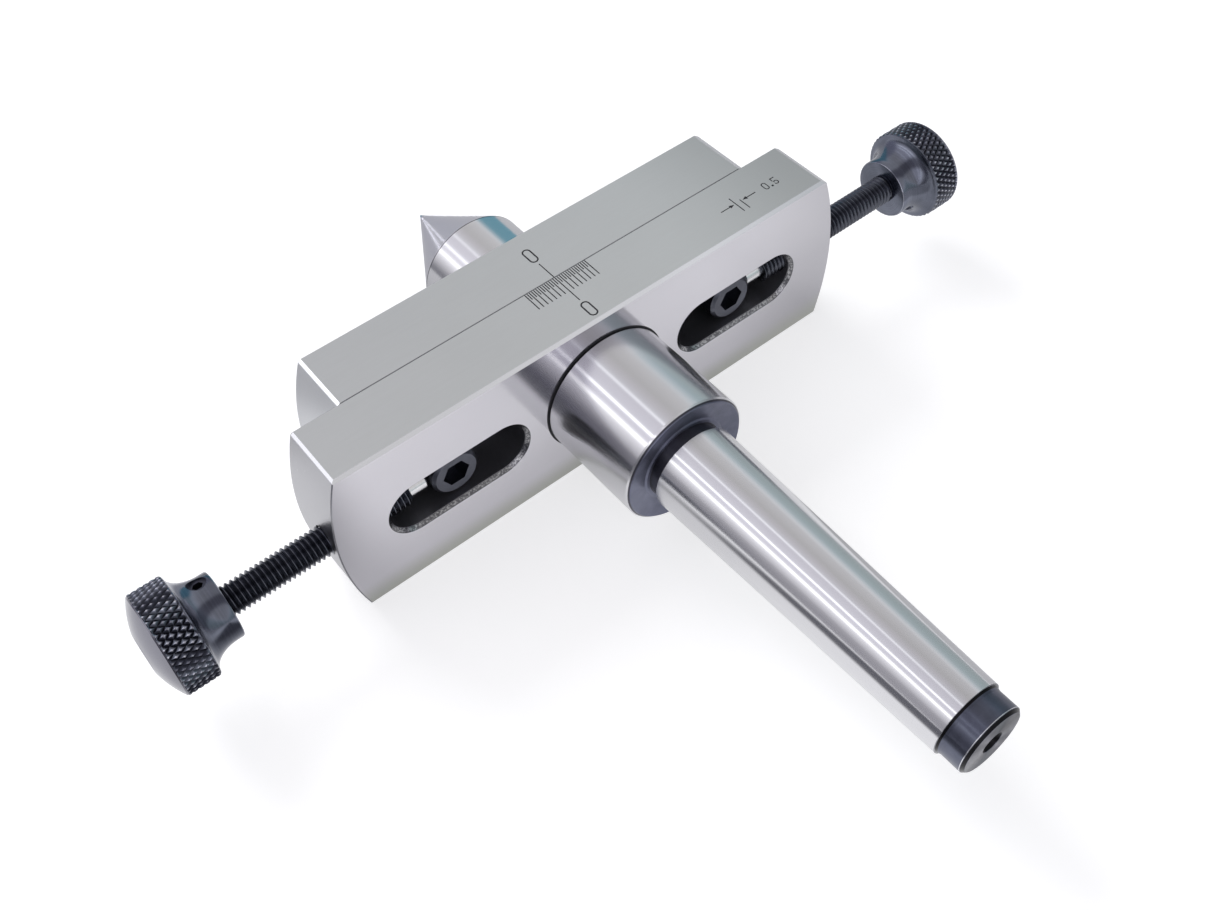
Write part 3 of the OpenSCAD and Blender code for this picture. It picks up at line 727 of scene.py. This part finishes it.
def shank_finish():
    """Bright ground taper and boss, blackened tail, neck and end face of the boss."""
    finish, tree, shader = new_finish("ground shank with blackened ends")
    here = place(tree, place_effect)
    rings = rings_about(tree, here["Y"], here["X"], here["Z"], 0.12)
    marks = place(tree, marks_effect, Stretch=(0.5, 0.5, 0.5), Clouding=0.5)
    reach = distance_off_axis(tree, here["X"], here["Z"])

    def band(along_y, reach_from):
        return product(tree, between(tree, here["Y"], *along_y), rising(tree, reach, *reach_from))

    tail = rising(tree, here["Y"], *TAIL_Y)
    tail_end = product(tree, tail, rising(tree, here["Face Y"], *TAIL_END_LOOKS))
    neck = between(tree, here["Y"], *NECK_Y)
    boss_end = product(
        tree, between(tree, here["Y"], *BOSS_FACE_Y), between(tree, reach, *BOSS_FACE_REACH)
    )
    bore = product(
        tree, rising(tree, reach, *TAIL_BORE_REACH), rising(tree, here["Y"], *TAIL_BORE_Y)
    )
    shoulder = between(tree, here["Y"], *TAIL_SHOULDER_SHADE_Y)
    # Painted shade in the tail's bore and along the shoulder.
    bore_and_shoulder_shade = product(tree, work_out(tree, "MAXIMUM", bore, shoulder), tail)
    tone = GROUND_TONE
    for mask, new_tone in (
        (neck, NECK_TONE),
        (boss_end, BOSS_END_TONE),
        (tail, TAIL_TONE),
        (tail_end, TAIL_END_TONE),
        # Painted shade in the tail's bore and along the shoulder.
        (bore_and_shoulder_shade, SEAM_AND_SHADE_TONE),
        # Painted shade on the tail's end chamfer.
        (band(TAIL_RIM_SHADE_Y, TAIL_RIM_SHADE_REACH), SEAM_AND_SHADE_TONE),
        # Painted highlight along the tail's edge.
        (band(TAIL_EDGE_HIGHLIGHT_Y, TAIL_EDGE_HIGHLIGHT_REACH), TAIL_EDGE_HIGHLIGHT_TONE),
        # Dark seam where the boss meets the bar: partly the joint, partly painted shade.
        (band(SHANK_SEAM_SHADE_Y, SHANK_SEAM_SHADE_REACH), SEAM_AND_SHADE_TONE),
    ):
        tone = blend_tones(tree, mask, tone, new_tone)
    dark = work_out(tree, "MAXIMUM", tail, work_out(tree, "MAXIMUM", neck, boss_end))
    blotches = product(tree, marks["Tone"], dark, 1.6)
    tone = shaded(tree, tone, work_out(tree, "ADD", swing(tree, rings, 0.1), blotches))
    roughness = blend_amounts(tree, dark, SHANK_ROUGHNESS, BLACKENED_ROUGHNESS)
    roughness = blend_amounts(tree, tail_end, roughness, TAIL_END_ROUGHNESS)
    roughness = work_out(tree, "ADD", roughness, swing(tree, rings, 0.1))
    set_surface(tree, shader, tone, roughness)
    ground_round_the_axis(tree, shader, "Y", stretch=1.0)
    bump(tree, shader, rings, strength=0.1, distance=0.004)
    return finish


def ground_point_finish():
    """Finely ground centre with rings round its axis, a dark line where the point begins and
    painted shade that darkens the point.
    """
    finish, tree, shader = new_finish("ground centre")
    here = place(tree, place_effect)
    rings = rings_about(tree, here["Y"], here["X"], here["Z"], 0.1)
    # Painted shade: the point is darker than the plain part.
    tone = blend_tones(tree, rising(tree, here["Y"], *POINT_Y), GROUND_TONE, SHADED_POINT_TONE)
    line = between(tree, here["Y"], *POINT_LINE_Y, 0.05)
    tone = blend_tones(tree, line, tone, POINT_LINE_TONE)
    tone = shaded(tree, tone, swing(tree, rings, 0.25))
    roughness = work_out(tree, "ADD", swing(tree, rings, 0.12), CENTRE_ROUGHNESS)
    set_surface(tree, shader, tone, roughness)
    bump(tree, shader, rings, strength=0.15, distance=0.004)
    return finish


# Tones of the blackened pieces and of the bright pads, bushes and dowel
CAP_SCREW_TONE = (0.115, 0.12, 0.145, 1)
COUNTERSUNK_TONE = (0.12, 0.125, 0.14, 1)
SET_SCREW_TONE = (0.1, 0.1, 0.12, 1)
ADJUSTING_SCREW_TONE = (0.11, 0.116, 0.14, 1)
KNOB_TONE = (0.16, 0.172, 0.215, 1)
# Painted shade between the knurl's tips.
GRIP_SHADE_TONE = (0.06, 0.064, 0.08, 1)
DOME_TONE = (0.24, 0.24, 0.275, 1)
# Partly wear, partly painted highlight: the bright tone of the knurl's tips and of the hub edge.
WORN_AND_GLINT_TONE = (0.62, 0.62, 0.68, 1)
BRIGHT_TONE = (0.82, 0.82, 0.83, 1)
BRIGHT_ROUGHNESS = 0.24

# Places on a knob whose tone differs, by distance along the bars and off the screw's axis
GRIP_X = (HEAD_X + 0.3, HEAD_END - 0.35)
GRIP_REACH = (9.3, 9.45)
# Painted shade: where the knurl's grooves are darkened.
GRIP_SHADE_REACH = (9.9, 9.7)
DOME_X = (HEAD_END - 0.3, HEAD_END - 0.1)
# Painted highlight: a bright line on the hub's edge.
HUB_EDGE_HIGHLIGHT_X = (HUB_X + 0.22, HUB_X + 0.1)
HUB_EDGE_HIGHLIGHT_REACH = (6.3, 6.4)
# Partly wear, partly painted highlight on the knurl's tips.
WORN_GLINT_REACH = (9.85, 9.97)
WORN_GLINT_CLOUDS = (0.3, 0.6)


def show_knurl(tree, along, across, up, clouds, tone):
    """Painted shade between the knurl's tips, a paler dome, a painted highlight on the hub edge,
    and tips that are partly wear and partly painted highlight.
    """
    length = unsigned(tree, along)
    reach = distance_off_axis(tree, across, up)
    grip = product(tree, between(tree, length, *GRIP_X), rising(tree, reach, *GRIP_REACH))
    # Painted shade between the knurl's tips.
    grip_shade = product(tree, grip, rising(tree, reach, *GRIP_SHADE_REACH))
    tone = blend_tones(tree, grip_shade, tone, GRIP_SHADE_TONE)
    tone = blend_tones(tree, rising(tree, length, *DOME_X), tone, DOME_TONE)
    # Painted highlight on the hub's edge.
    hub_edge_highlight = product(
        tree, rising(tree, length, *HUB_EDGE_HIGHLIGHT_X), rising(tree, reach, *HUB_EDGE_HIGHLIGHT_REACH)
    )
    tone = blend_tones(tree, hub_edge_highlight, tone, WORN_AND_GLINT_TONE)
    # The tips' bright tone is partly wear and partly a painted highlight.
    worn_and_glinting = product(tree, rising(tree, reach, *WORN_GLINT_REACH), rising(tree, clouds, *WORN_GLINT_CLOUDS))
    return blend_tones(tree, worn_and_glinting, tone, WORN_AND_GLINT_TONE)


def blackened_finish(name, tone, roughness, axis, centre, pitch, knurled=False):
    """Black oxide over turned steel: rings about an axis that stands off by centre, and clouds."""
    finish, tree, shader = new_finish(name)
    here = place(tree, place_effect)
    if axis == "X":
        along, across = here["X"], work_out(tree, "SUBTRACT", here["Y"], centre)
    else:
        along, across = here["Y"], work_out(tree, "SUBTRACT", unsigned(tree, here["X"]), centre)
    rings = rings_about(tree, along, across, here["Z"], pitch)
    marks = place(tree, marks_effect, Stretch=(0.6, 0.6, 0.6), Clouding=1.2)
    shown = shaded(tree, tone, work_out(tree, "ADD", swing(tree, rings, 0.7), marks["Tone"]))
    if knurled:
        shown = show_knurl(tree, along, across, here["Z"], marks["Clouds"], shown)
    roughness = work_out(tree, "ADD", swing(tree, rings, 0.25), roughness)
    set_surface(tree, shader, shown, roughness)
    bump(tree, shader, rings, strength=0.25, distance=0.006)
    return finish


def bright_finish(name, axis):
    """Plain bright turned steel for the pads, the bushes and the dowel."""
    finish, tree, shader = new_finish(name)
    here = place(tree, place_effect)
    if axis == "X":
        along, across = here["X"], work_out(tree, "SUBTRACT", here["Y"], SCREW_Y)
    else:
        along, across = here["Y"], work_out(tree, "SUBTRACT", unsigned(tree, here["X"]), CLAMP_X)
    rings = rings_about(tree, along, across, here["Z"], 0.09)
    tone = shaded(tree, BRIGHT_TONE, swing(tree, rings, 0.5))
    roughness = work_out(tree, "ADD", swing(tree, rings, 0.2), BRIGHT_ROUGHNESS)
    set_surface(tree, shader, tone, roughness)
    bump(tree, shader, rings, strength=0.2, distance=0.006)
    return finish


dress(["fixed_bar"], ground_bar_finish("ground fixed bar", FIXED_BAR))
dress(["slide_bar"], ground_bar_finish("ground slide bar", SLIDE_BAR))
dress(["taper_shank"], shank_finish())
dress(["centre_point"], ground_point_finish())
dress(["left_thrust_pad", "right_thrust_pad"], bright_finish("turned thrust pads", "X"))
dress(
    ["left_guide_bush", "right_guide_bush", "shank_dowel"],
    bright_finish("turned bushes and dowel", "Y"),
)
dress(
    ["left_clamp_screw", "right_clamp_screw", "left_clamp_washer", "right_clamp_washer"],
    blackened_finish("blackened cap screws", CAP_SCREW_TONE, 0.34, "Y", CLAMP_X, pitch=0.12),
)
dress(
    ["shank_screw", "centre_screw"],
    blackened_finish("blackened countersunk screws", COUNTERSUNK_TONE, 0.32, "Y", 0, pitch=0.12),
)
dress(
    ["left_knob_set_screw", "right_knob_set_screw"],
    blackened_finish("blackened set screws", SET_SCREW_TONE, 0.35, "X", SCREW_Y, pitch=0.1),
)
knob_finish = blackened_finish(
    "blackened knurled knobs", KNOB_TONE, 0.18, "X", SCREW_Y, pitch=0.16, knurled=True
)
screw_finish = blackened_finish(
    "blackened adjusting screws", ADJUSTING_SCREW_TONE, 0.26, "X", SCREW_Y, pitch=0.3
)
for side, hand in ((LEFT, "left"), (RIGHT, "right")):
    knob = model_knob(side, hand + "_knurled_knob")
    screw = model_screw(side, hand + "_threaded_screw")
    for piece, stands_for, finish in (
        (knob, hand + "_knob", knob_finish), (screw, hand + "_adjusting_screw", screw_finish),
    ):
        piece.data.materials.append(finish)
        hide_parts(stands_for)
        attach(piece, hand + "_screw")


# Studio: white table, graded surroundings and a camera above the left end
FLOOR_Z = -FLAT_Z
CAMERA_PLACE = (-98.1, -109.2, 197.3)
CAMERA_RIGHT = Vector((0.78019, -0.623777, -0.046973))
CAMERA_DOWN = Vector((-0.500892, -0.577976, -0.644244))
CAMERA_LENS = 40.12
CAMERA_SHIFT = -0.0494

TABLE_SIZE = 1200
TABLE_TONE = (0.6, 0.6, 0.6, 1)
TABLE_SHADE_TONE = (0.12, 0.12, 0.14, 1)
TABLE_GLOW = 0.6
MIRRORED_GLOW = 0.5

# Dimmer parts of the table in the metal's mirror image, each with its rise along X and along Y
UNDER_BARS = ((-75, -50), (8, 32))
FRONT_LEFT = ((-41, -64), (40, 0))
BESIDE_SHANK = ((4, 12), (0, -8))
BEHIND_Y = (70, 100)

# The share of the table's light that each of them keeps
UNDER_BARS_SHARE = 0.62
FRONT_LEFT_SHARE = 0.1
BESIDE_SHANK_SHARE = 0.15
BEHIND_SHARE = 0.1

# Bright lines far behind that the point mirrors as streaks: a point on each, slope and half width
POINT_STREAKS = [(3.6, 215.0, -11.4, 8.0), (-3.2, 176.0, -2.2, 3.5)]
STREAK_X = 25
STREAK_SOFT = 4
STREAK_GLOW = 2.6


def lay_table():
    """A white table that only the camera sees evenly: in the metal some parts of it are dimmer."""
    start_shape()
    bpy.ops.mesh.primitive_plane_add(size=TABLE_SIZE * MM, location=(0, 0, FLOOR_Z * MM))
    table = bpy.context.object
    table.name = "table"
    surface = bpy.data.materials.new("white table")
    surface.use_nodes = True
    tree = surface.node_tree
    tree.nodes.clear()
    out = add_step(tree, "ShaderNodeOutputMaterial")
    matt = add_step(tree, "ShaderNodeBsdfDiffuse")
    glow = add_step(tree, "ShaderNodeEmission")
    rays = add_step(tree, "ShaderNodeLightPath")
    mirrored = work_out(
        tree, "ADD", rays.outputs["Is Glossy Ray"], rays.outputs["Is Transmission Ray"]
    )
    where = add_step(tree, "ShaderNodeTexCoord")
    split = add_step(tree, "ShaderNodeSeparateXYZ")
    tree.links.new(where.outputs["Object"], split.inputs[0])
    here_x, here_y = split.outputs["X"], split.outputs["Y"]

    def rise(value, ends):
        return rising(tree, value, ends[0] * MM, ends[1] * MM)

    def zone(along_x, along_y):
        return product(tree, rise(here_y, along_y), rise(here_x, along_x))

    front_left = zone(*FRONT_LEFT)
    evenly_lit = product(
        tree,
        blend_amounts(tree, zone(*UNDER_BARS), 1.0, UNDER_BARS_SHARE),
        blend_amounts(tree, front_left, 1.0, FRONT_LEFT_SHARE),
        blend_amounts(tree, rise(here_y, BEHIND_Y), 1.0, BEHIND_SHARE),
        blend_amounts(tree, zone(*BESIDE_SHANK), 1.0, BESIDE_SHANK_SHARE),
    )
    in_shade = product(tree, mirrored, front_left)
    tree.links.new(blend_tones(tree, in_shade, TABLE_TONE, TABLE_SHADE_TONE), matt.inputs["Color"])
    seen_in_metal = product(tree, mirrored, evenly_lit, MIRRORED_GLOW)
    for x, y, slope, half in POINT_STREAKS:
        off_x = work_out(tree, "SUBTRACT", here_x, x * MM)
        line = work_out(tree, "MULTIPLY_ADD", off_x, slope, y * MM)
        aside = work_out(tree, "SUBTRACT", here_y, line)
        streak = product(
            tree,
            between(tree, aside, -half * MM, half * MM, 0.4 * half * MM),
            between(tree, here_x, -STREAK_X * MM, STREAK_X * MM, STREAK_SOFT * MM),
            mirrored,
            STREAK_GLOW,
        )
        seen_in_metal = work_out(tree, "ADD", seen_in_metal, streak)
    seen_by_camera = product(tree, rays.outputs["Is Camera Ray"], TABLE_GLOW)
    tree.links.new(work_out(tree, "ADD", seen_by_camera, seen_in_metal), glow.inputs["Strength"])
    both = add_step(tree, "ShaderNodeAddShader")
    tree.links.new(matt.outputs[0], both.inputs[0])
    tree.links.new(glow.outputs[0], both.inputs[1])
    tree.links.new(both.outputs[0], out.inputs["Surface"])
    table.data.materials.append(surface)


# Tones round the spindle axis, by roll angle in degrees: 0 is straight up, below 0 to the right
SURROUNDINGS = [
    (-92, (0.42, 0.47, 0.48)), (-72, (0.43, 0.51, 0.52)), (-60, (0.5, 0.58, 0.6)),
    (-53, (0.68, 0.74, 0.77)), (-45, (0.86, 0.86, 0.88)), (-40, (0.72, 0.71, 0.72)),
    (-15, (0.61, 0.6, 0.6)), (-3, (0.7, 0.68, 0.71)), (6, (0.8, 0.79, 0.84)),
    (8, (1.3, 1.3, 1.36)), (10, (1.3, 1.3, 1.36)), (12, (0.82, 0.8, 0.87)),
    (31, (0.92, 0.9, 0.98)), (33, (2.1, 2.1, 2.15)), (35, (2.1, 2.1, 2.15)),
    (37, (0.94, 0.92, 1.02)), (46, (0.98, 0.96, 1.05)), (49, (2.1, 2.1, 2.1)),
    (52, (2.1, 2.1, 2.1)), (55, (1.16, 1.15, 1.2)), (64, (0.84, 0.83, 0.88)),
    (73, (0.58, 0.57, 0.6)), (82, (0.3, 0.3, 0.33)), (91, (0.2, 0.2, 0.23)),
]

# Parts of the surroundings with a tone of their own, by roll angle and by how far they lie along Y
NEARER_Y = ((0.1, -0.1), (-0.64, -0.44))
NEARER_TONE = (0.13, 0.125, 0.16, 1)
NEARER_SHARE = 0.8
FAR_Y = (0.68, 0.86)
FAR_TONE = (0.42, 0.42, 0.5, 1)
LOW_LEFT_ROLL = (66.6, 75.6)
LOW_LEFT_Y = ((0.44, 0.3), (0.02, 0.1))
LOW_LEFT_TONE = (0.52, 0.51, 0.55, 1)
WINDOW_ROLL = (-41.4, -59.04)
WINDOW_Y = (0.56, 0.6)
WINDOW_TONE = (0.17, 0.37, 0.46, 1)


def ramp_place(angle):
    """Where a roll angle falls on the ramp, which runs from 0 to 1 once round the axis."""
    return 0.5 + angle / 360


def light_surroundings():
    """Soft panels run along the spindle axis, so they are graded by the roll angle about it."""
    world = bpy.data.worlds.new("studio")
    bpy.context.scene.world = world
    world.use_nodes = True
    tree = world.node_tree
    tree.nodes.clear()
    out = add_step(tree, "ShaderNodeOutputWorld")
    where = add_step(tree, "ShaderNodeTexCoord")
    split = add_step(tree, "ShaderNodeSeparateXYZ")
    tree.links.new(where.outputs["Generated"], split.inputs[0])
    along = split.outputs["Y"]
    roll = work_out(
        tree, "ARCTAN2", product(tree, split.outputs["X"], -1.0), split.outputs["Z"]
    )
    turned = work_out(tree, "ADD", work_out(tree, "DIVIDE", roll, 2 * math.pi), 0.5)
    panels = add_step(tree, "ShaderNodeValToRGB")
    stops = panels.color_ramp.elements
    for index, (angle, tone) in enumerate(SURROUNDINGS):
        stop = stops[index] if index < 2 else stops.new(1.0)
        stop.position = ramp_place(angle)
        stop.color = (*tone, 1)
    tree.links.new(turned, panels.inputs["Fac"])
    nearer = product(tree, *(rising(tree, along, *ends) for ends in NEARER_Y))
    low_left = product(
        tree,
        rising(tree, turned, *map(ramp_place, LOW_LEFT_ROLL)),
        *(rising(tree, along, *ends) for ends in LOW_LEFT_Y),
    )
    window = product(
        tree,
        rising(tree, turned, *map(ramp_place, WINDOW_ROLL)),
        rising(tree, along, *WINDOW_Y),
    )
    shown = panels.outputs["Color"]
    for mask, tone in (
        (product(tree, nearer, NEARER_SHARE), NEARER_TONE),
        (rising(tree, along, *FAR_Y), FAR_TONE),
        (low_left, LOW_LEFT_TONE),
        (window, WINDOW_TONE),
    ):
        shown = blend_tones(tree, mask, shown, tone)
    studio = add_step(tree, "ShaderNodeBackground")
    tree.links.new(shown, studio.inputs["Color"])
    backdrop = add_step(tree, "ShaderNodeBackground")
    backdrop.inputs["Color"].default_value = (1, 1, 1, 1)
    rays = add_step(tree, "ShaderNodeLightPath")
    mix = add_step(tree, "ShaderNodeMixShader")
    tree.links.new(rays.outputs["Is Camera Ray"], mix.inputs[0])
    tree.links.new(studio.outputs[0], mix.inputs[1])
    tree.links.new(backdrop.outputs[0], mix.inputs[2])
    tree.links.new(mix.outputs[0], out.inputs["Surface"])


def hang_lamp(name, place_mm, target_mm, width, length, power):
    lamp = bpy.data.lights.new(name, "AREA")
    lamp.shape = "RECTANGLE"
    lamp.size = width * MM
    lamp.size_y = length * MM
    lamp.energy = power
    hung = bpy.data.objects.new(name, lamp)
    bpy.context.scene.collection.objects.link(hung)
    spot = Vector(place_mm) * MM
    hung.location = spot
    hung.rotation_euler = (Vector(target_mm) * MM - spot).to_track_quat("-Z", "Y").to_euler()
    hung.visible_glossy = False


def set_camera():
    camera = bpy.data.cameras.new("camera")
    camera.lens = CAMERA_LENS
    camera.sensor_width = 36
    camera.sensor_fit = "HORIZONTAL"
    camera.shift_y = CAMERA_SHIFT
    camera.clip_start = 0.01
    camera.clip_end = 20
    stand = bpy.data.objects.new("camera", camera)
    bpy.context.scene.collection.objects.link(stand)
    right = CAMERA_RIGHT.normalized()
    back = right.cross(-CAMERA_DOWN).normalized()
    turned = Matrix((right, back.cross(right), back)).transposed().to_4x4()
    stand.matrix_world = Matrix.Translation(Vector(CAMERA_PLACE) * MM) @ turned
    bpy.context.scene.camera = stand


set_camera()
lay_table()
light_surroundings()
hang_lamp("window behind", (-100, 900, 700), (0, 0, 0), width=500, length=500, power=6)
bpy.context.scene.view_settings.view_transform = "Standard"
